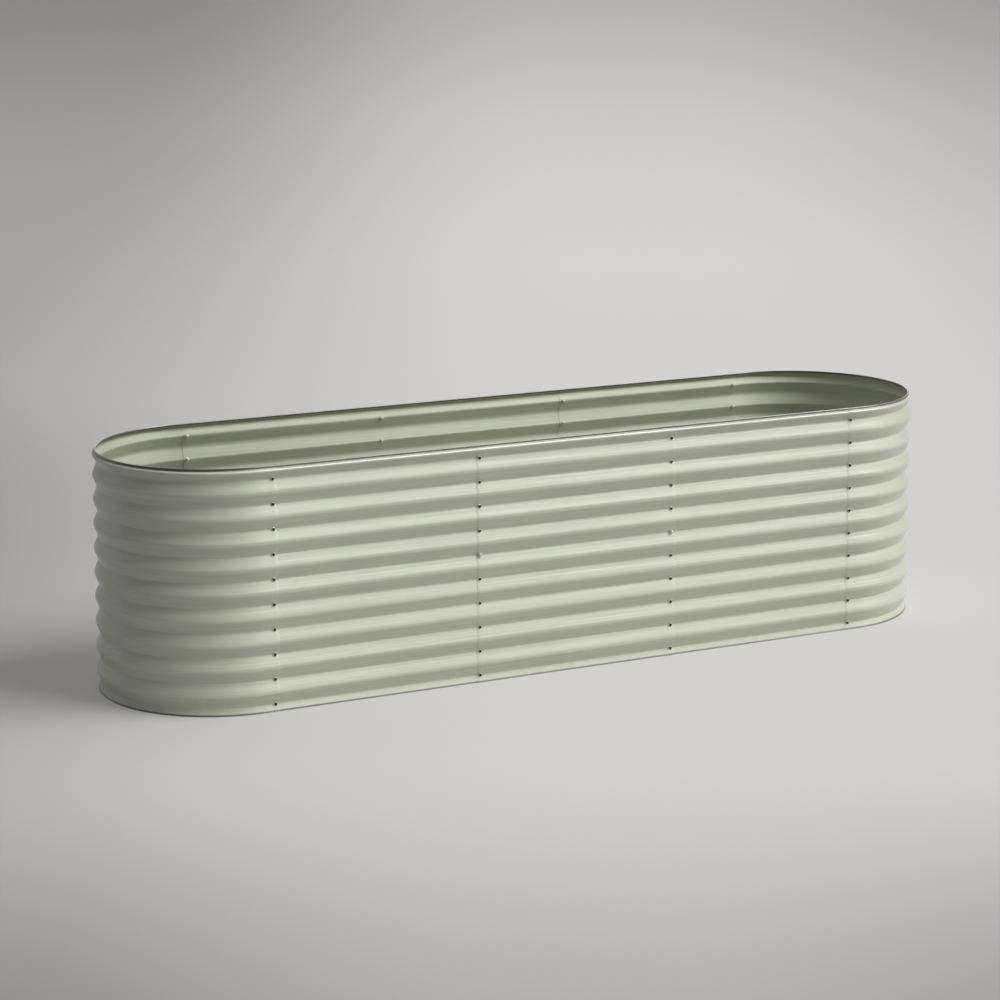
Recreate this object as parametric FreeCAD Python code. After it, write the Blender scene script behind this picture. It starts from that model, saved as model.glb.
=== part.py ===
import FreeCAD, Part
import itertools
import math
import os

from FreeCAD import Vector

# Raised garden bed of corrugated steel sheet: a long bed with two straight sides and two half-round
# ends, open at the top and at the bottom.
#
# All sizes are in millimetres. X runs along the bed, the front is at -Y, Z is up, and the origin is
# on the ground under the middle of the bed. The wall is described by two values: its height z, and
# its depth u, measured outward from the plane that the crests of the ribs touch, so u is 0 at a
# crest and negative everywhere else.

# Corrugation
rib_pitch = 76.2            # from one valley to the next
rib_rows = 10               # valleys, and so bolts in a seam
rib_depth = 13.5            # from crest to valley on the outer face
crest_radius = 20.0         # outer face
valley_radius = 7.4         # outer face
foot_height = 22.5          # from the ground to the lowest valley
sheet = 0.8                 # steel with its paint

# Rolled top edge of each panel
bead_rise = 25.5            # from the top valley to the crest of the bead
bead_radius = 7.0           # outer face
lip_bend_radius = 2.0       # outer face
lip_inset = 8.2             # how far the upright lip stands behind the crests
lip_height = 4.0

# Plan
bed_width = 766.0           # over the crests
seam_spacing = 680.0        # from one bolted seam to the next along a side
side_panels = 3             # panels in each straight side, an odd number, so both ends lap alike
tail_length = 32.0          # straight run of an end panel, from its curve to the bolts
lap_edge = 12.0             # from the bolts to the edge of a panel
lap_gap = 0.3               # between the two sheets of a lap
touching = 1e-6             # two points this close are the same point

# Rubber edge trim
trim_wall = 2.0
trim_roof = 1.4             # over the sheet, at the side walls
trim_crown = 1.2            # extra height at the middle of the roof
trim_gap = 0.3              # to the sheet, at the edge and on the outside
trim_joint = 0.4            # between two lengths of trim

# Cup-head bolts with square necks, and closed nuts
neck_width = 6.0
hole_width = 6.6
head_width = 12.0
head_top_width = 7.2
head_height = 3.0
head_sides = 12             # a round head, drawn with flats
seat_gap = 0.1              # between a fastener and the sheet it bears on
nut_sides = 6
nut_flats = 10.0
nut_height = 5.0
nut_cap_flats = 6.0
nut_cap_height = 2.4

# Tie rods across the bed
rod_diameter = 6.0
rod_row = 5                 # counted from the lowest row of bolts, which is 0
lock_nut_bore = 6.5
lock_nut_height = 5.0


half_width = bed_width / 2
half_pitch = rib_pitch / 2
tangent_x = side_panels * seam_spacing / 2 + tail_length
seams = [(number - side_panels / 2) * seam_spacing for number in range(side_panels + 1)]
rows = [foot_height + number * rib_pitch for number in range(rib_rows)]
inner_shift = sheet + lap_gap


def flank_angle(radii, rise):
    """Lean of the straight line that joins a valley arc to the arc above it."""
    across = radii - rib_depth
    return math.asin(radii / math.hypot(rise, across)) - math.atan2(across, rise)


flank = flank_angle(crest_radius + valley_radius, half_pitch)
bead_flank = flank_angle(bead_radius + valley_radius, bead_rise)
lip_turn = math.acos(1 - lip_inset / (bead_radius + lip_bend_radius))
lip_start = rows[-1] + bead_rise + (bead_radius + lip_bend_radius) * math.sin(lip_turn)
sheet_top = lip_start + lip_height


def wall_point(u, z):
    """A point of the wall's section, drawn in the XZ plane with the crests on the Z axis."""
    return Vector(u, 0, z)


def arc_through(centre_u, centre_z, radius, first, last):
    """Arc between two angles, measured up from the outward direction."""
    middle = (first + last) / 2
    points = []
    for angle in (first, middle, last):
        points.append(wall_point(centre_u + radius * math.cos(angle), centre_z + radius * math.sin(angle)))
    return Part.Arc(*points).toShape()


def sheet_line(behind):
    """Edges of one face of the sheet, from below the ground to the top, set behind the outer face."""
    crest_u = -crest_radius
    valley_u = valley_radius - rib_depth
    crest = crest_radius - behind
    valley = valley_radius + behind
    edges = [arc_through(crest_u, rows[0] - half_pitch, crest, 0, flank)]
    for number, valley_z in enumerate(rows):
        rises_to_bead = number == rib_rows - 1
        upper = bead_flank if rises_to_bead else flank
        edges.append(arc_through(valley_u, valley_z, valley, math.pi + flank, math.pi - upper))
        if not rises_to_bead:
            edges.append(arc_through(crest_u, valley_z + half_pitch, crest, -flank, flank))
    bead_z = rows[-1] + bead_rise
    bend_u = lip_bend_radius - lip_inset
    edges.append(arc_through(-bead_radius, bead_z, bead_radius - behind, -bead_flank, lip_turn))
    edges.append(arc_through(bend_u, lip_start, lip_bend_radius + behind, math.pi + lip_turn, math.pi))
    joined = [edges[0]]
    for edge in edges[1:]:
        start = joined[-1].valueAt(joined[-1].LastParameter)
        end = edge.valueAt(edge.FirstParameter)
        if start.distanceToPoint(end) > touching:
            joined.append(Part.LineSegment(start, end).toShape())
        joined.append(edge)
    start = joined[-1].valueAt(joined[-1].LastParameter)
    joined.append(Part.LineSegment(start, wall_point(-lip_inset - behind, sheet_top)).toShape())
    return joined


def sheet_section(shift):
    """Face of the sheet's section, cut off at the ground. Shift sets the whole sheet inward."""
    outer = sheet_line(shift)
    inner = sheet_line(shift + sheet)
    bottom = Part.LineSegment(outer[0].Vertexes[0].Point, inner[0].Vertexes[0].Point).toShape()
    top = Part.LineSegment(wall_point(-lip_inset - shift, sheet_top),
                           wall_point(-lip_inset - shift - sheet, sheet_top)).toShape()
    section = Part.Face(Part.Wire(Part.__sortEdges__(outer + inner + [bottom, top])))
    ground = Part.makeBox(bed_width, rib_pitch, rib_pitch, Vector(-half_width, -half_pitch, -rib_pitch))
    return section.cut(ground).Faces[0]


def swept(section, path):
    """Sweep a wall section along a line of the plan that starts at the front and runs towards +X."""
    placed = section.copy()
    placed.rotate(Vector(0, 0, 0), Vector(0, 0, 1), -90)
    placed.translate(path.OrderedVertexes[0].Point)
    return path.makePipe(placed)


def side_band(section, start_x, end_x, side):
    """Straight stretch of wall. Side is -1 at the front and 1 at the back."""
    path = Part.Wire([Part.makeLine(Vector(start_x, -half_width, 0), Vector(end_x, -half_width, 0))])
    band = swept(section, path)
    return band if side < 0 else band.mirror(Vector(0, 0, 0), Vector(0, 1, 0))


def end_band(section, stop_x, end):
    """Half-round end of two quarter turns, with a straight tail at each side, which stops at stop_x.
    End is -1 at the left and 1 at the right."""
    front_stop, front_tangent = Vector(stop_x, -half_width, 0), Vector(tangent_x, -half_width, 0)
    back_tangent, back_stop = Vector(tangent_x, half_width, 0), Vector(stop_x, half_width, 0)
    tip = Vector(tangent_x + half_width, 0, 0)
    middle = half_width * math.sqrt(0.5)
    front_middle = Vector(tangent_x + middle, -middle, 0)
    back_middle = Vector(tangent_x + middle, middle, 0)
    path = Part.Wire([
        Part.makeLine(front_stop, front_tangent),
        Part.Arc(front_tangent, front_middle, tip).toShape(),
        Part.Arc(tip, back_middle, back_tangent).toShape(),
        Part.makeLine(back_tangent, back_stop),
    ])
    band = swept(section, path)
    return band if end > 0 else band.mirror(Vector(0, 0, 0), Vector(1, 0, 0))


def standing(shape, seam_x, row_z, side, depth, outward=True):
    """Stand a shape made along Z on the wall, at a depth, facing outward or into the bed."""
    direction = side if outward else -side
    placed = shape.copy()
    placed.rotate(Vector(0, 0, 0), Vector(1, 0, 0), -90 * direction)
    placed.translate(Vector(seam_x, side * (half_width + depth), row_z))
    return placed


def square_bar(width, length):
    """Square bar that hangs below the XY plane."""
    return Part.makeBox(width, width, length, Vector(-width / 2, -width / 2, -length))


def bolt_holes(near_seams, sides):
    """Square holes through the valleys at the given seams."""
    hole = square_bar(hole_width, rib_depth + 2 * inner_shift + sheet)
    places = itertools.product(near_seams, rows, sides)
    return [standing(hole, seam_x, row_z, side, 0) for seam_x, row_z, side in places]


def corner_radius(flats, sides):
    """Distance from the middle to a corner of a regular outline."""
    return flats / 2 / math.cos(math.pi / sides)


def flatted(flats, sides, z):
    """Regular closed wire across the given flats, at height z."""
    corner = corner_radius(flats, sides)
    points = []
    for number in range(sides + 1):
        angle = (2 * number + 1) * math.pi / sides
        points.append(Vector(corner * math.cos(angle), corner * math.sin(angle), z))
    return Part.makePolygon(points)


def tapered(flats, top_flats, sides, bottom_z, height):
    """Solid between two regular outlines with the same number of sides."""
    outlines = [flatted(flats, sides, bottom_z), flatted(top_flats, sides, bottom_z + height)]
    return Part.makeLoft(outlines, True, True)


def seat_u(radius, row_z):
    """Depth at which a flat round face of this radius comes to bear on the flanks of a valley."""
    lean = max(flank, bead_flank) if row_z == rows[-1] else flank
    flat_part = valley_radius * math.sin(lean)
    sag = valley_radius * (1 - math.cos(lean))
    return -rib_depth + sag + (radius - flat_part) * math.tan(lean) + seat_gap


nut_seat = -rib_depth - inner_shift - sheet - seat_gap


def cup_bolt(seat):
    """Bolt with a low round head on the XY plane, and a square neck that reaches down to the nut."""
    head = tapered(head_width, head_top_width, head_sides, 0, head_height)
    return head.fuse(square_bar(neck_width, seat - nut_seat))


def closed_nut():
    """Hexagonal nut with a closed, tapered end, standing on the XY plane."""
    body = tapered(nut_flats, nut_flats, nut_sides, 0, nut_height)
    return body.fuse(tapered(nut_flats, nut_cap_flats, nut_sides, nut_height, nut_cap_height))


def lock_nut():
    """Open hexagonal nut for the thread of a tie rod, standing on the XY plane."""
    body = tapered(nut_flats, nut_flats, nut_sides, 0, lock_nut_height)
    return body.cut(Part.makeCylinder(lock_nut_bore / 2, lock_nut_height))


def trim_section():
    """Section of the rubber channel: two walls, and a crowned roof over the edge of the sheet."""
    outer = -lip_inset + trim_gap
    inner = -lip_inset - inner_shift - sheet - trim_gap
    slot_top = sheet_top + trim_gap
    shoulder = slot_top + trim_roof
    crown = wall_point((outer + inner) / 2, shoulder + trim_crown)
    left = wall_point(inner - trim_wall, shoulder)
    right = wall_point(outer + trim_wall, shoulder)
    walls = [right, wall_point(right.x, lip_start), wall_point(outer, lip_start), wall_point(outer, slot_top),
             wall_point(inner, slot_top), wall_point(inner, lip_start), wall_point(left.x, lip_start), left]
    edges = [Part.LineSegment(start, end).toShape() for start, end in zip(walls, walls[1:])]
    edges.append(Part.Arc(left, crown, right).toShape())
    return Part.Face(Part.Wire(edges))


rod_seams = [seam_x for seam_x in seams if abs(seam_x) < seams[-1]]
rod_z = rows[rod_row]
cap_seat = seat_u(corner_radius(nut_flats, nut_sides), rod_z)


def has_rod(seam_x, row_z):
    """Whether a tie rod takes the place of the bolt here."""
    return seam_x in rod_seams and row_z == rod_z


def tie_rod(seam_x):
    """Round rod from the outer nut at the front to the outer nut at the back."""
    end_y = half_width + cap_seat
    return Part.makeCylinder(rod_diameter / 2, 2 * end_y, Vector(seam_x, -end_y, rod_z), Vector(0, 1, 0))


def straight_panel(number, side):
    """Corrugated side panel. Every second panel, and so the first and the last, laps inside its
    neighbours."""
    laps_inside = number % 2 == 0
    section = sheet_section(inner_shift if laps_inside else 0)
    near = seams[number:number + 2]
    panel = side_band(section, near[0] - lap_edge, near[1] + lap_edge, side)
    return panel.cut(bolt_holes(near, [side]))


def end_panel(end):
    """Half-round corrugated end, which laps outside the side panels."""
    panel = end_band(sheet_section(0), seams[-1] - lap_edge, end)
    return panel.cut(bolt_holes([end * seams[-1]], (-1, 1)))


def write(name, solids):
    """Write one sub-part, as one solid or as a group of separate solids."""
    shape = solids[0] if len(solids) == 1 else Part.makeCompound(solids)
    shape.exportStep("parts/" + name + ".step")


os.makedirs("parts", exist_ok=True)

for end, end_name in ((-1, "left"), (1, "right")):
    write("end_panel_" + end_name, [end_panel(end)])
    write("edge_trim_" + end_name + "_end", [end_band(trim_section(), seams[-1] + trim_joint / 2, end)])

head_seats = [seat_u(corner_radius(head_width, head_sides), row_z) for row_z in rows]
bolt_for_seat = {seat: cup_bolt(seat) for seat in head_seats}
nut = closed_nut()
panel_names = ("left", "middle", "right")

for side, side_name in ((-1, "front"), (1, "back")):
    for number in range(side_panels):
        place = panel_names[number] if side_panels == len(panel_names) else str(number + 1)
        write(side_name + "_panel_" + place, [straight_panel(number, side)])
    trim_end = seams[-1] - trim_joint / 2
    write("edge_trim_" + side_name, [side_band(trim_section(), -trim_end, trim_end, side)])
    for number, seam_x in enumerate(seams):
        bolts = []
        nuts = []
        for row_z, seat in zip(rows, head_seats):
            if not has_rod(seam_x, row_z):
                bolts.append(standing(bolt_for_seat[seat], seam_x, row_z, side, seat))
                nuts.append(standing(nut, seam_x, row_z, side, nut_seat, outward=False))
        seam_name = side_name + "_seam_" + str(number + 1)
        write(seam_name + "_bolts", bolts)
        write(seam_name + "_nuts", nuts)

for number, seam_x in enumerate(rod_seams):
    name = "tie_rod_" + str(number + 1)
    write(name, [tie_rod(seam_x)])
    write(name + "_cap_nuts", [standing(nut, seam_x, rod_z, side, cap_seat) for side in (-1, 1)])
    write(name + "_lock_nuts", [standing(lock_nut(), seam_x, rod_z, side, nut_seat, outward=False)
                                for side in (-1, 1)])
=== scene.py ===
import math

import bmesh
import bpy
from mathutils import Matrix, Vector, noise


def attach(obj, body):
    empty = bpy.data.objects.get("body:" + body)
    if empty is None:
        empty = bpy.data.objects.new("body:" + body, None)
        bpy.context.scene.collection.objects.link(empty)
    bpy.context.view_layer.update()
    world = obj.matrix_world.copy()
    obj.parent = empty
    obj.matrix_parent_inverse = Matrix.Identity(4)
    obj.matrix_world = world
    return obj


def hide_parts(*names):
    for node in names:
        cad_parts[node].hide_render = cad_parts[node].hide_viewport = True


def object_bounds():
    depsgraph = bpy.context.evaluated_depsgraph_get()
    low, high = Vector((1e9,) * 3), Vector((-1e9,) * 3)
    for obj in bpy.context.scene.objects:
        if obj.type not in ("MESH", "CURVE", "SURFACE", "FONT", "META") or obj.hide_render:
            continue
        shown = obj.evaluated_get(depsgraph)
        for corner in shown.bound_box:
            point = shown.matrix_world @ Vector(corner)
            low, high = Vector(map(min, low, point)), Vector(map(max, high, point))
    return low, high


# A raised garden bed of corrugated steel sheet, painted sage green, with a glossy dark rubber trim
# on its top edge and rows of small flanged bolts. All sizes are in metres, in the frame of the
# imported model: X runs along the bed, the front is at -Y, Z is up, and the ground is at Z = 0.

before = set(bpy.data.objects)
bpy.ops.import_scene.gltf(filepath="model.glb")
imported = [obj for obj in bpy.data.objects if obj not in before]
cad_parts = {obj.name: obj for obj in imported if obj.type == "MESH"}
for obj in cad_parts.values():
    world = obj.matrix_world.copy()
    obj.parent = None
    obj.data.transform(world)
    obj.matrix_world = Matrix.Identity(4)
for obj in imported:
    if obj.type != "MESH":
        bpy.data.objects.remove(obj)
cad_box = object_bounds()

MM = 0.001

# Section of the wall. Heights are z, and depths u are measured outward from the crests' plane.
RIB_PITCH = 76.2 * MM
RIB_ROWS = 10
RIB_DEPTH = 13.5 * MM
CREST_RADIUS = 20.0 * MM
VALLEY_RADIUS = 7.4 * MM
FOOT_HEIGHT = 22.5 * MM
SHEET = 0.8 * MM
BEAD_RISE = 25.5 * MM
BEAD_RADIUS = 7.0 * MM
LIP_BEND_RADIUS = 2.0 * MM
LIP_INSET = 8.2 * MM
LIP_HEIGHT = 4.0 * MM
LAP_SHIFT = SHEET + 0.3 * MM

# Plan
HALF_WIDTH = -cad_box[0][1]
HALF_LENGTH = cad_box[1][0]
TANGENT_X = HALF_LENGTH - HALF_WIDTH
SEAM_SPACING = 680.0 * MM
LAP_EDGE = 12.0 * MM
SIDE_PANELS = 3
SEAMS = [(number - SIDE_PANELS / 2) * SEAM_SPACING for number in range(SIDE_PANELS + 1)]
ROWS = [FOOT_HEIGHT + number * RIB_PITCH for number in range(RIB_ROWS)]
ROD_ROW = 5

# Unevenness of the sheets, and the edges where they thin out over a lap
WAVE = 0.35 * MM
WAVE_ALONG = 2.3
WAVE_UP = 9.0
HEM = 9.0 * MM
HEM_OUTER = 0.66 * MM
HEM_INNER = 0.20 * MM
HEM_CURVE = 1.4
HEM_STATIONS = (0.15, 0.5, 1.0)

# Rubber trim
TRIM_WALL = 2.0 * MM
TRIM_GAP = 0.3 * MM
TRIM_ROOF = 2.6 * MM
TRIM_JOINT = 0.4 * MM
TRIM_LEG = 2.6 * MM
TRIM_FOOT = 0.5 * MM
TRIM_TAPER = 0.7 * MM
TRIM_SQUARENESS = 0.8
TRIM_TURN = 0.6

# Bolts
HEAD_RADIUS = 6.0 * MM
HEAD_HEIGHT = 3.2 * MM
HEAD_SHOULDER = 1.1 * MM
DOME_RADIUS = 4.5 * MM
DOME_FULLNESS = 1.15
SOCKET_RADIUS = 2.1 * MM
SOCKET_MOUTH = SOCKET_RADIUS * 1.05
SOCKET_DEPTH = 1.3 * MM
NECK = 6.0 * MM
SEAT_GAP = 0.1 * MM

# Nuts
NUT_FLATS = 10.0 * MM
NUT_CORNER = NUT_FLATS / math.sqrt(3)
NUT_HEIGHT = 5.0 * MM
FLANGE_RADIUS = 7.6 * MM
FLANGE_EDGE = 0.6 * MM
FLANGE_TOP = 1.3 * MM
CAP_RADIUS = 3.8 * MM
CAP_RISE = 2.3 * MM

# Tie rods
ROD_RADIUS = 3.0 * MM
ROD_ROOT = 2.6 * MM
THREAD_PITCH = 1.0 * MM
THREAD_TURNS = 36

# Steps of the meshes
CREST_STEPS = 10
VALLEY_STEPS = 7
FLANK_STEPS = 2
BEND_STEPS = 6
TRIM_STEPS = 22
PATH_STEP = 12.0 * MM
HEAD_SIDES = 24
FLANGE_SIDES = 28
CAP_SIDES = 20
ROD_SIDES = 16
HEXAGON = 6
SHARP_ANGLE = 35
TRIM_SHARP_ANGLE = 40


# --------------------------------------------------------------------------- section of the wall

def flank_angle(radii, rise):
    """Lean of the straight line that joins a valley arc to the arc above it."""
    across = radii - RIB_DEPTH
    return math.asin(radii / math.hypot(rise, across)) - math.atan2(across, rise)


FLANK = flank_angle(CREST_RADIUS + VALLEY_RADIUS, RIB_PITCH / 2)
BEAD_FLANK = flank_angle(BEAD_RADIUS + VALLEY_RADIUS, BEAD_RISE)
LIP_TURN = math.acos(1 - LIP_INSET / (BEAD_RADIUS + LIP_BEND_RADIUS))
LIP_START = ROWS[-1] + BEAD_RISE + (BEAD_RADIUS + LIP_BEND_RADIUS) * math.sin(LIP_TURN)
SHEET_TOP = LIP_START + LIP_HEIGHT


def arc(centre_u, centre_z, radius, first, last, steps):
    """Points of an arc in the section, with angles measured up from the outward direction."""
    points = []
    for number in range(steps + 1):
        angle = first + (last - first) * number / steps
        points.append((centre_u + radius * math.cos(angle), centre_z + radius * math.sin(angle)))
    return points


def join(line, points):
    """Add points to a line, with a straight run in steps between them."""
    if line:
        (u0, z0), (u1, z1) = line[-1], points[0]
        for number in range(1, FLANK_STEPS):
            share = number / FLANK_STEPS
            line.append((u0 + (u1 - u0) * share, z0 + (z1 - z0) * share))
    line.extend(points)


def sheet_line(behind):
    """Points of one face of the sheet from the ground to the top, set behind the outer face."""
    crest = CREST_RADIUS - behind
    valley = VALLEY_RADIUS + behind
    valley_u = VALLEY_RADIUS - RIB_DEPTH
    below = arc(-CREST_RADIUS, ROWS[0] - RIB_PITCH / 2, crest, FLANK, FLANK, 1)[0]
    line = []
    for number, row in enumerate(ROWS):
        last = number == len(ROWS) - 1
        upper = BEAD_FLANK if last else FLANK
        points = arc(valley_u, row, valley, math.pi + FLANK, math.pi - upper, VALLEY_STEPS)
        if number == 0:
            share = -below[1] / (points[0][1] - below[1])
            line.append((below[0] + (points[0][0] - below[0]) * share, 0.0))
        join(line, points)
        if not last:
            join(line, arc(-CREST_RADIUS, row + RIB_PITCH / 2, crest, -FLANK, FLANK, CREST_STEPS))
    bead_z = ROWS[-1] + BEAD_RISE
    join(line, arc(-BEAD_RADIUS, bead_z, BEAD_RADIUS - behind, -BEAD_FLANK, LIP_TURN, CREST_STEPS))
    bend_u = LIP_BEND_RADIUS - LIP_INSET
    bend = arc(bend_u, LIP_START, LIP_BEND_RADIUS + behind, math.pi + LIP_TURN, math.pi, BEND_STEPS)
    line.extend(bend[1:])
    line.append((-LIP_INSET - behind, SHEET_TOP))
    return line


def sheet_loop(shift):
    """Closed section of the sheet. Shift sets the whole sheet inward."""
    return sheet_line(shift) + sheet_line(shift + SHEET)[::-1]


def trim_loop(short):
    """Closed section of the rubber channel, a bulb whose outer leg is cut short by a share."""
    outer = -LIP_INSET + TRIM_GAP
    inner = -LIP_INSET - LAP_SHIFT - SHEET - TRIM_GAP
    slot_top = SHEET_TOP + TRIM_GAP
    middle = (outer + inner) / 2
    half = outer + TRIM_WALL - middle
    foot = LIP_START + TRIM_FOOT
    rise = slot_top + TRIM_ROOF - foot
    leg = LIP_START + short * TRIM_LEG
    loop = [(inner, slot_top), (outer, slot_top), (outer, leg),
            (outer + TRIM_WALL - TRIM_TAPER, leg)]
    for number in range(TRIM_STEPS + 1):
        angle = math.pi * number / TRIM_STEPS
        across = math.copysign(abs(math.cos(angle)) ** TRIM_SQUARENESS, math.cos(angle))
        height = foot + rise * math.sin(angle) ** TRIM_SQUARENESS
        if across > 0:
            height += short * TRIM_LEG * (1 - math.sin(angle) ** TRIM_SQUARENESS)
        loop.append((middle + half * across, height))
    loop += [(inner - TRIM_WALL + TRIM_TAPER, LIP_START), (inner, LIP_START)]
    return loop


# --------------------------------------------------------------------------- paths in plan

def side_path(start_x, end_x, side):
    """Stations (point, outward normal, distance) along the front (-1) or the back (1).

    They are closer together near both ends, where a sheet thins out.
    """
    count = max(2, round((end_x - start_x) / PATH_STEP))
    places = [start_x + (end_x - start_x) * number / count for number in range(count + 1)]
    places[1:1] = [start_x + HEM * share for share in HEM_STATIONS]
    places[-1:-1] = [end_x - HEM * share for share in reversed(HEM_STATIONS)]
    return [(Vector((x, side * HALF_WIDTH, 0)), Vector((0, side, 0)), x) for x in places]


def end_path(stop_x, end):
    """Stations round the left (-1) or the right (1) end, with a straight tail at each side."""
    tail = side_path(stop_x, TANGENT_X, -1)
    stations = [(point, normal, distance - TANGENT_X) for point, normal, distance in tail]
    steps = round(math.pi * HALF_WIDTH / PATH_STEP)
    for number in range(1, steps):
        angle = -math.pi / 2 + math.pi * number / steps
        normal = Vector((math.cos(angle), math.sin(angle), 0))
        point = Vector((TANGENT_X, 0, 0)) + normal * HALF_WIDTH
        stations.append((point, normal, (angle + math.pi / 2) * HALF_WIDTH))
    for point, normal, distance in reversed(side_path(stop_x, TANGENT_X, 1)):
        stations.append((point, normal, math.pi * HALF_WIDTH + TANGENT_X - distance))
    if end < 0:
        flip = Matrix.Diagonal((-1, 1, 1))
        stations = [(flip @ point, flip @ normal, distance) for point, normal, distance in stations]
    return stations


def ripple(point, z):
    """Slight unevenness of rolled sheet, always inward, the same for every sheet at one place."""
    place = Vector((point.x * WAVE_ALONG, point.y * WAVE_ALONG, z * WAVE_UP))
    return -WAVE * (0.5 + 0.5 * noise.noise(place))


# --------------------------------------------------------------------------- meshes

def new_object(name, bm, sharp_angle=SHARP_ANGLE):
    """Object from a bmesh, smooth but for its sharp edges."""
    bmesh.ops.recalc_face_normals(bm, faces=bm.faces)
    mesh = bpy.data.meshes.new(name)
    bm.to_mesh(mesh)
    bm.free()
    mesh.shade_smooth()
    mesh.set_sharp_from_angle(angle=math.radians(sharp_angle))
    piece = bpy.data.objects.new(name, mesh)
    bpy.context.collection.objects.link(piece)
    return piece


def sheet_sweep(name, loop, stations, hemmed):
    """Sheet section swept along stations, with closed ends and a UV map in metres.

    The first half of the section is its outer face and the second half its inner face, which has
    the second material. A hemmed sheet thins out toward its ends and lies against the sheet below.
    """
    bm = bmesh.new()
    rings = []
    count = len(loop)
    half = count // 2
    start, end = stations[0][2], stations[-1][2]
    for point, normal, distance in stations:
        ring = []
        from_end = min(distance - start, end - distance)
        hem = max(0.0, 1 - from_end / HEM) ** HEM_CURVE if hemmed else 0.0
        for number, (u, z) in enumerate(loop):
            fade = min(1.0, (SHEET_TOP - z) / RIB_PITCH, z / (RIB_PITCH / 2))
            shift = ripple(point, z) * max(0.0, fade)
            shift -= hem * (HEM_OUTER if number < half else HEM_INNER)
            place = point + normal * (u + shift)
            ring.append(bm.verts.new((place.x, place.y, z)))
        rings.append(ring)
    uv = bm.loops.layers.uv.new("UVMap")
    lengths = [0.0]
    for (u0, z0), (u1, z1) in zip(loop, loop[1:] + loop[:1]):
        lengths.append(lengths[-1] + math.hypot(u1 - u0, z1 - z0))
    for index, (ring, following) in enumerate(zip(rings, rings[1:])):
        near, far = stations[index][2], stations[index + 1][2]
        for number in range(count):
            after = (number + 1) % count
            face = bm.faces.new((ring[number], ring[after], following[after], following[number]))
            face.material_index = 1 if number >= half else 0
            places = ((near, number), (near, number + 1), (far, number + 1), (far, number))
            for corner, (along, step) in zip(face.loops, places):
                corner[uv].uv = (along, lengths[step])
    for ring in (rings[0], rings[-1]):
        for number in range(half - 1):
            opposite = count - 1 - number
            bm.faces.new((ring[number], ring[number + 1], ring[opposite - 1], ring[opposite]))
    return new_object(name, bm)


def trim_sweep(name, stations):
    """Rubber channel along stations, with one flat face on each end.

    Its outer leg is short along the straight sides and grows to its full length round the ends.
    """
    bm = bmesh.new()
    rings = []
    for point, normal, _ in stations:
        turned = min(1.0, abs(normal.x) / TRIM_TURN)
        loop = trim_loop(1 - turned * turned * (3 - 2 * turned))
        rings.append([bm.verts.new((point + normal * u) + Vector((0, 0, z))) for u, z in loop])
    count = len(rings[0])
    for ring, following in zip(rings, rings[1:]):
        for number in range(count):
            after = (number + 1) % count
            bm.faces.new((ring[number], ring[after], following[after], following[number]))
    bm.faces.new(rings[0])
    bm.faces.new(rings[-1][::-1])
    return new_object(name, bm, TRIM_SHARP_ANGLE)


def lathe(bm, profile, sides, place):
    """Turned form about Z from (radius, z) points, closed at radius 0. Gives its faces."""
    rings = []
    faces = []
    for radius, z in profile:
        if radius == 0:
            rings.append([bm.verts.new(place @ Vector((0, 0, z)))])
            continue
        ring = []
        for number in range(sides):
            angle = 2 * math.pi * (number + 0.5) / sides
            point = Vector((radius * math.cos(angle), radius * math.sin(angle), z))
            ring.append(bm.verts.new(place @ point))
        rings.append(ring)
    for lower, upper in zip(rings, rings[1:]):
        for number in range(sides):
            after = (number + 1) % sides
            corners = []
            for vertex in (lower[number % len(lower)], lower[after % len(lower)],
                           upper[after % len(upper)], upper[number % len(upper)]):
                if vertex not in corners:
                    corners.append(vertex)
            if len(corners) > 2:
                faces.append(bm.faces.new(corners))
    return faces


def seat_depth(radius, row):
    """Depth at which a flat round face comes to bear on the flanks of a valley."""
    lean = max(FLANK, BEAD_FLANK) if row == ROWS[-1] else FLANK
    flat_part = VALLEY_RADIUS * math.sin(lean)
    sag = VALLEY_RADIUS * (1 - math.cos(lean))
    return -RIB_DEPTH + sag + (radius - flat_part) * math.tan(lean) + SEAT_GAP


NUT_SEAT = -RIB_DEPTH - LAP_SHIFT - SHEET - SEAT_GAP


def bolt_place(seam_x, row, side, depth, outward=True):
    """Matrix that stands a form made along Z on the wall, facing outward or into the bed."""
    direction = side if outward else -side
    turn = Matrix.Rotation(-direction * math.pi / 2, 4, "X")
    return Matrix.Translation((seam_x, side * (HALF_WIDTH + depth), row)) @ turn


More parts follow.
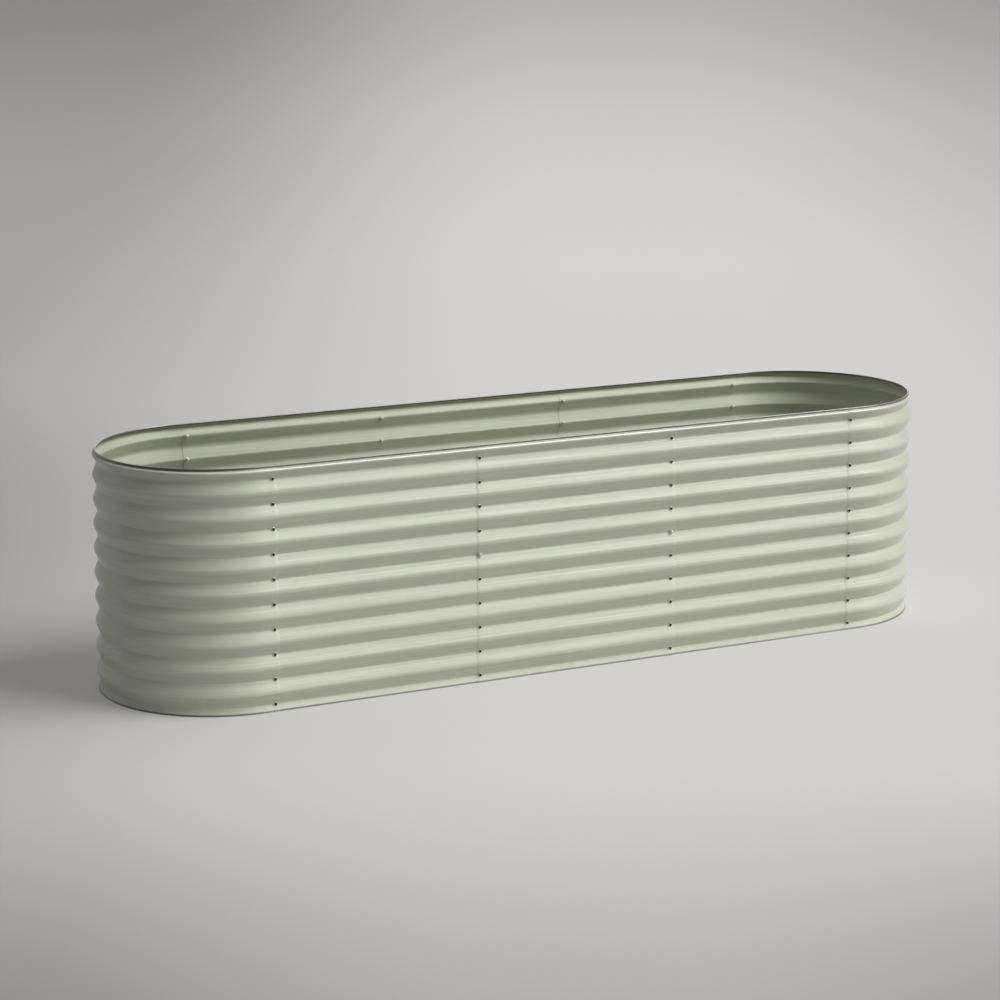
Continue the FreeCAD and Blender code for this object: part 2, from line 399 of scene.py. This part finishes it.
def add_bolt(bm, seam_x, row, side):
    """Flanged bolt: plated ring and neck, and a blackened dome with a hexagonal socket.

    The dome and the socket have the second material.
    """
    seat = seat_depth(HEAD_RADIUS, row)
    place = bolt_place(seam_x, row, side, seat)
    lathe(bm, [(0, 0), (HEAD_RADIUS * 0.97, 0.0), (HEAD_RADIUS, 0.2 * MM), (HEAD_RADIUS, 0.6 * MM),
               (HEAD_RADIUS * 0.95, 0.85 * MM), (DOME_RADIUS, HEAD_SHOULDER)], HEAD_SIDES, place)
    dome = [(DOME_RADIUS, HEAD_SHOULDER)]
    for number in range(1, 6):
        angle = number * math.pi / 15
        rise = (HEAD_HEIGHT - HEAD_SHOULDER) * math.sin(angle) * DOME_FULLNESS
        dome.append((DOME_RADIUS * math.cos(angle), HEAD_SHOULDER + rise))
    top = dome[-1][1]
    dark = lathe(bm, dome + [(SOCKET_MOUTH, top)], HEAD_SIDES, place)
    dark += lathe(bm, [(SOCKET_MOUTH, top), (SOCKET_RADIUS, top - 0.1 * MM),
                       (SOCKET_RADIUS, top - SOCKET_DEPTH),
                       (0, top - SOCKET_DEPTH - 0.3 * MM)], HEXAGON, place)
    for face in dark:
        face.material_index = 1
    length = seat - NUT_SEAT
    neck = Matrix.Translation((0, 0, -length / 2)) @ Matrix.Diagonal((NECK, NECK, length, 1))
    bmesh.ops.create_cube(bm, size=1, matrix=place @ neck)


def add_nut(bm, place, closed=True):
    """Flanged hexagonal nut, closed by a small dome or open for a rod."""
    lathe(bm, [(0, 0), (FLANGE_RADIUS, 0.0), (FLANGE_RADIUS, FLANGE_EDGE),
               (NUT_CORNER * 0.94, FLANGE_TOP), (0, FLANGE_TOP)], FLANGE_SIDES, place)
    lathe(bm, [(0, 0.8 * MM), (NUT_CORNER, 0.8 * MM), (NUT_CORNER, NUT_HEIGHT - 0.6 * MM),
               (NUT_CORNER * 0.9, NUT_HEIGHT), (0, NUT_HEIGHT)], HEXAGON, place)
    if closed:
        base = NUT_HEIGHT - 0.2 * MM
        dome = [(0, base), (CAP_RADIUS + 0.1 * MM, base)]
        for number in range(6):
            angle = number * math.pi / 12
            dome.append((CAP_RADIUS * math.cos(angle), NUT_HEIGHT + CAP_RISE * math.sin(angle)))
        dome.append((0, NUT_HEIGHT + CAP_RISE))
        lathe(bm, dome, CAP_SIDES, place)


def add_rod(bm, seam_x):
    """Round rod across the bed, with grooves of thread near each end."""
    end_y = HALF_WIDTH + seat_depth(NUT_CORNER, ROWS[ROD_ROW])
    grooves = []
    for number in range(THREAD_TURNS):
        z = end_y - number * THREAD_PITCH
        grooves += [(ROD_RADIUS, z), (ROD_ROOT, z - THREAD_PITCH / 2)]
    mirrored = [(radius, -z) for radius, z in grooves]
    profile = [(0, -end_y)] + mirrored + grooves[::-1] + [(0, end_y)]
    place = Matrix.Translation((seam_x, 0, ROWS[ROD_ROW])) @ Matrix.Rotation(-math.pi / 2, 4, "X")
    lathe(bm, profile, ROD_SIDES, place)


# --------------------------------------------------------------------------- materials

BLACK = (0, 0, 0, 1)
SAGE_DARK = (0.494, 0.523, 0.388, 1)
SAGE_LIGHT = (0.526, 0.555, 0.414, 1)
SAGE_BAND = (0.36, 0.39, 0.29, 1)
SAGE_STREAK = (0.70, 0.72, 0.62, 1)
DUST = (0.36, 0.33, 0.26, 1)
# Colour of the painted shadow line along the foot of the sheets
FOOT_SHADOW_LINE = (0.10, 0.10, 0.078, 1)
RUBBER_DARK = (0.024, 0.019, 0.015, 1)
RUBBER_LIGHT = (0.046, 0.035, 0.026, 1)
RUBBER_WARM = (0.120, 0.022, 0.034, 1)

# How often the paint's marks repeat along and across a sheet, in each metre
STREAKS = (1.6, 150.0, 1.0)
BANDS = (0.9, 62.0, 1.0)


class Nodes:
    """Small helper for building a material. Most of its methods give an output socket."""

    def __init__(self, name):
        self.material = bpy.data.materials.new(name)
        self.material.use_nodes = True
        self.tree = self.material.node_tree
        self.shader = self.tree.nodes["Principled BSDF"]

    def feed(self, node, entry, value):
        """Link an output socket to an input of a node, or set the input to a plain value."""
        if isinstance(value, bpy.types.NodeSocket):
            self.tree.links.new(value, node.inputs[entry])
        else:
            node.inputs[entry].default_value = value

    def finish(self, entries):
        """Feed the shader's inputs. Gives the material."""
        for entry, value in entries.items():
            self.feed(self.shader, entry, value)
        return self.material

    def add(self, kind, entries, output=0, **settings):
        node = self.tree.nodes.new("ShaderNode" + kind)
        for key, value in settings.items():
            setattr(node, key, value)
        for entry, value in entries.items():
            self.feed(node, entry, value)
        return node.outputs[output]

    def coordinates(self, kind):
        return self.add("TexCoord", {}, kind)

    def split(self, vector):
        return self.add("SeparateXYZ", {0: vector}).node.outputs

    def scaled(self, vector, scale, location=(0, 0, 0)):
        return self.add("Mapping", {"Vector": vector, "Scale": scale, "Location": location})

    def noise(self, vector, scale, detail=3.0, roughness=0.5):
        entries = {"Vector": vector, "Scale": scale, "Detail": detail, "Roughness": roughness}
        return self.add("TexNoise", entries, "Fac")

    def span(self, value, low, high, to_low=0.0, to_high=1.0, curve="LINEAR"):
        """Value taken from one range to another, and kept within it."""
        entries = {"Value": value, "From Min": low, "From Max": high,
                   "To Min": to_low, "To Max": to_high}
        return self.add("MapRange", entries, interpolation_type=curve)

    def math(self, operation, first, second=0.0):
        return self.add("Math", {0: first, 1: second}, operation=operation)

    def mix(self, factor, first, second):
        """Mix of two colours."""
        return self.add("Mix", {0: factor, 6: first, 7: second}, 2, data_type="RGBA")

    def bump(self, height, strength, distance, below=None):
        entries = {"Height": height, "Strength": strength, "Distance": distance}
        if below:
            entries["Normal"] = below
        return self.add("Bump", entries)


def paint_material(name, gloss, dullness, left_painted_shade):
    """Satin sage green coating: fine texture, faint rolling streaks, a little dirt near the foot,
    a painted shadow line along the foot, and painted shade toward the left end as set by
    left_painted_shade.

    Gloss is the strength of its clear coat, dullness is added to its roughness, and
    left_painted_shade is the share of its brightness that the left end keeps under painted shade.
    """
    n = Nodes(name)
    surface = n.coordinates("Object")
    sheet = n.coordinates("UV")
    x, _, z = n.split(surface)
    streaks = n.noise(n.scaled(sheet, STREAKS), 1.0, 3.0, 0.55)
    bands = n.noise(n.scaled(sheet, BANDS), 1.0, 2.0)
    cloud = n.noise(surface, 5.0)
    patches = n.noise(surface, 38.0, 5.0, 0.65)
    fine = n.noise(surface, 900.0, 2.0)
    colour = n.mix(n.span(cloud, 0.3, 0.7), SAGE_DARK, SAGE_LIGHT)
    colour = n.mix(n.span(bands, 0.32, 0.68, 0.0, 0.20), colour, SAGE_BAND)
    colour = n.mix(n.span(streaks, 0.40, 0.72, 0.0, 0.30), colour, SAGE_STREAK)
    dust = n.math("MULTIPLY", n.span(z, 0.0, 0.09, 0.35, 0.0), n.span(patches, 0.5, 0.72))
    colour = n.mix(dust, colour, DUST)
    # Painted shadow: a near-black line along the foot of every sheet.
    colour = n.mix(n.span(z, 0.0035, 0.0065, 1.0, 0.0), colour, FOOT_SHADOW_LINE)
    # Painted shade: darker toward the left end, down to the share left_painted_shade.
    colour = n.mix(n.span(x, -1.35, -0.2, left_painted_shade, 1.0), BLACK, colour)
    relief = n.bump(cloud, 0.25, 0.004)
    relief = n.bump(bands, 0.35, 0.0025, relief)
    relief = n.bump(streaks, 0.30, 0.0014, relief)
    relief = n.bump(fine, 0.12, 0.0003, relief)
    return n.finish({
        "Base Color": colour,
        "Roughness": n.span(bands, 0.3, 0.7, 0.30 + dullness, 0.44 + dullness),
        "Specular IOR Level": 0.5 + 0.5 * gloss,
        "Coat Weight": gloss,
        "Coat Roughness": 0.36,
        "Normal": relief,
    })


def rubber_material():
    """Glossy dark brown rubber, a little uneven, and warmer at the right of the front."""
    n = Nodes("dark_rubber")
    surface = n.coordinates("Object")
    x, y, _ = n.split(surface)
    cloud = n.noise(surface, 14.0, 4.0)
    fine = n.noise(surface, 700.0, 2.0)
    warm = n.math("MULTIPLY", n.span(x, 0.80, 1.15), n.span(y, 0.05, -0.25))
    colour = n.mix(n.span(cloud, 0.3, 0.7), RUBBER_DARK, RUBBER_LIGHT)
    return n.finish({
        "Base Color": n.mix(warm, colour, RUBBER_WARM),
        "Roughness": n.span(cloud, 0.3, 0.7, 0.30, 0.42),
        "Specular IOR Level": 1.0,
        "Coat Weight": 1.0,
        "Coat Roughness": 0.22,
        "Coat IOR": 1.8,
        "Normal": n.bump(fine, 0.15, 0.0002),
    })


def steel_material(name, colour, roughness, metallic):
    """Plated, zinc-coated or blackened steel with a fine uneven finish."""
    n = Nodes(name)
    surface = n.coordinates("Object")
    cloud = n.noise(surface, 160.0)
    fine = n.noise(surface, 1600.0, 2.0)
    darker = tuple(value * 0.7 for value in colour)
    return n.finish({
        "Base Color": n.mix(n.span(cloud, 0.3, 0.7), (*darker, 1), (*colour, 1)),
        "Metallic": metallic,
        "Roughness": n.span(cloud, 0.3, 0.7, roughness * 0.8, roughness * 1.2),
        "Normal": n.bump(fine, 0.2, 0.0001),
    })


PAINT = paint_material("sage_paint", 1.0, 0.0, 1.0)
# Inside faces: duller, with painted shade toward the left end.
PAINT_INSIDE = paint_material("sage_paint_inside", 0.0, 0.20, 0.68)
RUBBER = rubber_material()
PLATED = steel_material("plated_steel", (0.74, 0.74, 0.70), 0.34, 0.7)
ZINC = steel_material("zinc_steel", (0.80, 0.80, 0.74), 0.50, 0.4)
BLACKENED = steel_material("blackened_steel", (0.030, 0.029, 0.025), 0.36, 0.3)
ROD_STEEL = steel_material("rod_steel", (0.55, 0.55, 0.54), 0.32, 1.0)


def dress(piece, node, materials):
    """Give a piece its materials, and let it stand for a node of the frame."""
    for material in materials:
        piece.data.materials.append(material)
    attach(piece, "root")
    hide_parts(node)


# --------------------------------------------------------------------------- the bed

def make_panels():
    coats = (PAINT, PAINT_INSIDE)
    for end, name in ((-1, "left"), (1, "right")):
        stations = end_path(SEAMS[-1] - LAP_EDGE, end)
        piece = sheet_sweep("sheet_end_" + name, sheet_loop(0), stations, True)
        dress(piece, "end_panel_" + name, coats)
    for side, side_name in ((-1, "front"), (1, "back")):
        for number, place in enumerate(("left", "middle", "right")):
            stations = side_path(SEAMS[number] - LAP_EDGE, SEAMS[number + 1] + LAP_EDGE, side)
            lies_inside = number % 2 == 0
            loop = sheet_loop(LAP_SHIFT if lies_inside else 0.0)
            piece = sheet_sweep("sheet_" + side_name + "_" + place, loop, stations, not lies_inside)
            dress(piece, side_name + "_panel_" + place, coats)


def make_trim():
    for end, name in ((-1, "left"), (1, "right")):
        piece = trim_sweep("trim_end_" + name, end_path(SEAMS[-1] + TRIM_JOINT / 2, end))
        dress(piece, "edge_trim_" + name + "_end", (RUBBER,))
    for side, name in ((-1, "front"), (1, "back")):
        stop = SEAMS[-1] - TRIM_JOINT / 2
        piece = trim_sweep("trim_" + name, side_path(-stop, stop, side))
        dress(piece, "edge_trim_" + name, (RUBBER,))


def has_rod(seam, row):
    """Whether a tie rod takes the place of the bolts and nuts there."""
    return 0 < seam < len(SEAMS) - 1 and row == ROWS[ROD_ROW]


def make_fasteners():
    for side, side_name in ((-1, "front"), (1, "back")):
        for seam, seam_x in enumerate(SEAMS):
            heads, nuts = bmesh.new(), bmesh.new()
            for row in ROWS:
                if not has_rod(seam, row):
                    add_bolt(heads, seam_x, row, side)
                    add_nut(nuts, bolt_place(seam_x, row, side, NUT_SEAT, outward=False))
            node = side_name + "_seam_" + str(seam + 1)
            piece = new_object("round_" + node + "_bolts", heads)
            dress(piece, node + "_bolts", (PLATED, BLACKENED))
            piece = new_object("domed_" + node + "_nuts", nuts)
            dress(piece, node + "_nuts", (ZINC,))


def make_rods():
    for number, seam_x in enumerate(SEAMS[1:-1], 1):
        node = "tie_rod_" + str(number)
        rod, caps, locks = bmesh.new(), bmesh.new(), bmesh.new()
        add_rod(rod, seam_x)
        row = ROWS[ROD_ROW]
        cap_seat = seat_depth(NUT_CORNER, row)
        for side in (-1, 1):
            add_nut(caps, bolt_place(seam_x, row, side, cap_seat))
            add_nut(locks, bolt_place(seam_x, row, side, NUT_SEAT, outward=False), closed=False)
        dress(new_object("threaded_" + node, rod), node, (ROD_STEEL,))
        piece = new_object("domed_" + node + "_caps", caps)
        dress(piece, node + "_cap_nuts", (PLATED,))
        piece = new_object("open_" + node + "_locks", locks)
        dress(piece, node + "_lock_nuts", (PLATED,))


make_panels()
make_trim()
make_fasteners()
make_rods()


# --------------------------------------------------------------------------- floor, lights, camera

STAGE_TURN = math.radians(-26.5)
STAGE_PALE = (0.606, 0.596, 0.588, 1)
STAGE_BOUNCE = 0.76
STAGE_GLOW = 0.26
STAGE_WIDTH = 90.0
STAGE_FRONT = -16.0
STAGE_NEAR = -6.0
STAGE_BACK = 9.5
STAGE_BEND = 25.0
BEND_PARTS = 40

# Painted light falloff on the floor's colour: axis, start and end in metres, share kept at each
FLOOR_PAINTED_FALLOFF = (
    ("X", -3.6, 0.4, 0.56, 1.0),
    ("X", 1.4, 5.4, 1.0, 0.76),
    ("Y", -3.8, -1.2, 0.60, 1.0),
    ("Y", 9.0, 22.0, 1.0, 0.70),
    ("Y", 14.5, 19.5, 1.0, 0.80),
)


def stage_material():
    """Pale warm grey with painted light falloff: darker to the sides, in front and far behind,
    with painted shadow in a patch behind the bed's left end and painted shade at the front corners.

    A share of its paleness is a painted glow, seen by the camera and in reflections, so the shadows
    stay soft.
    """
    n = Nodes("warm_grey_floor")
    floor = n.coordinates("Object")
    along = dict(zip("XYZ", n.split(floor)))
    # Painted shadow: the floor darkens in a patch behind the bed's left end.
    spot = n.scaled(floor, (1.0, 0.5, 1.0), (2.8, -0.25, 0))
    from_painted_shadow = n.add("VectorMath", {0: spot}, "Value", operation="LENGTH")
    # Painted shade: the floor darkens in front of the bed toward the sides.
    aside = n.math("ABSOLUTE", n.math("SUBTRACT", along["X"], 0.1))
    corners = n.math("MULTIPLY", n.span(aside, 0.2, 1.2), n.span(along["Y"], -3.2, -1.2, 1.0, 0.0))
    floor_painted_light = n.math("MULTIPLY", n.span(from_painted_shadow, 0.6, 2.4, 0.76, 1.0, "SMOOTHSTEP"),
                  n.span(corners, 0.0, 1.0, 1.0, 0.76, "SMOOTHSTEP"))
    # Painted light falloff: darker to the sides, in front and far behind.
    for axis, start, end, first, last in FLOOR_PAINTED_FALLOFF:
        floor_painted_light = n.math("MULTIPLY", floor_painted_light, n.span(along[axis], start, end, first, last, "SMOOTHSTEP"))
    colour = n.mix(floor_painted_light, BLACK, STAGE_PALE)
    # Painted light: the floor glows for the camera and in reflections.
    rays = n.add("LightPath", {}).node.outputs
    watched = n.math("MAXIMUM", rays["Is Camera Ray"], rays["Is Glossy Ray"])
    return n.finish({
        "Base Color": n.mix(n.span(watched, 0.0, 1.0, STAGE_BOUNCE, 1 - STAGE_GLOW), BLACK, colour),
        "Emission Color": colour,
        "Emission Strength": n.span(watched, 0.0, 1.0, 0.0, STAGE_GLOW),
        "Roughness": 0.9,
        "Specular IOR Level": 0.1,
    })


def make_stage():
    """Floor that curves up very gently into a backdrop far behind the bed."""
    bm = bmesh.new()
    line = [(STAGE_FRONT, 0.0), (STAGE_NEAR, 0.0), (STAGE_BACK, 0.0)]
    for number in range(1, BEND_PARTS + 1):
        angle = math.pi / 2 * number / BEND_PARTS
        line.append((STAGE_BACK + STAGE_BEND * math.sin(angle), STAGE_BEND * (1 - math.cos(angle))))
    rows = []
    for along, z in line:
        rows.append([bm.verts.new((x, along, z)) for x in (-STAGE_WIDTH / 2, STAGE_WIDTH / 2)])
    for near, far in zip(rows, rows[1:]):
        bm.faces.new((near[0], near[1], far[1], far[0]))
    backdrop = new_object("floor_and_backdrop", bm)
    backdrop.rotation_euler = (0, 0, STAGE_TURN)
    backdrop.data.materials.append(stage_material())


def aim(thing, place, target):
    thing.location = place
    thing.rotation_euler = (Vector(target) - Vector(place)).to_track_quat("-Z", "Y").to_euler()


def new_light(name, kind, strength, place, target):
    light = bpy.data.lights.new(name, kind)
    light.energy = strength
    thing = bpy.data.objects.new(name, light)
    bpy.context.collection.objects.link(thing)
    aim(thing, place, target)
    return light


RIM_PLACE = (11.5, 19.5, 6.6)
RIM_TARGET = (0, 0, 0.7)
RIM_SIZE = (16.0, 3.4)
RIM_POWER = 420
ROOM_COLOUR = (0.95, 0.97, 1.0, 1)
ROOM_STRENGTH = 0.07

# Name, the way toward the light, strength, and spread in degrees
SUNS = (
    ("key", (6.3, -4.7, 8.2), 3.02, 40),
    ("left_fill", (-6.0, -3.4, 4.0), 0.18, 100),
    ("right_fill", (7.0, 1.0, 1.6), 0.30, 70),
    ("back_fill", (-1.5, 7.0, 3.0), 0.50, 80),
    ("wide_key", (5.9, -5.0, 7.6), 0.60, 110),
    ("top", (0.3, 0.8, 6.0), 0.20, 90),
)


def make_lights():
    for name, toward, strength, spread in SUNS:
        new_light(name, "SUN", strength, toward, (0, 0, 0)).angle = math.radians(spread)
    rim = new_light("rim", "AREA", RIM_POWER, RIM_PLACE, RIM_TARGET)
    rim.shape = "RECTANGLE"
    rim.size, rim.size_y = RIM_SIZE
    world = bpy.data.worlds.new("soft_room")
    world.use_nodes = True
    background = world.node_tree.nodes["Background"]
    background.inputs["Color"].default_value = ROOM_COLOUR
    background.inputs["Strength"].default_value = ROOM_STRENGTH
    bpy.context.scene.world = world


CAMERA_PLACE = (-3.851, -7.557, 2.345)
CAMERA_YAW = math.radians(26.50)
CAMERA_PITCH = math.radians(8.00)
CAMERA_ROLL = math.radians(-0.14)
CAMERA_LENS = 95.7
CAMERA_RISE = -0.208


def make_camera():
    camera = bpy.data.cameras.new("camera")
    camera.lens = CAMERA_LENS
    camera.sensor_width = 36.0
    camera.clip_end = 100.0
    camera.shift_y = CAMERA_RISE
    thing = bpy.data.objects.new("camera", camera)
    bpy.context.collection.objects.link(thing)
    yaw = Matrix.Rotation(-CAMERA_YAW, 4, "Z")
    pitch = Matrix.Rotation(math.pi / 2 - CAMERA_PITCH, 4, "X")
    roll = Matrix.Rotation(CAMERA_ROLL, 4, "Z")
    thing.matrix_world = Matrix.Translation(CAMERA_PLACE) @ (yaw @ pitch) @ roll
    bpy.context.scene.camera = thing


make_stage()
make_lights()
make_camera()
bpy.context.scene.view_settings.view_transform = "Standard"
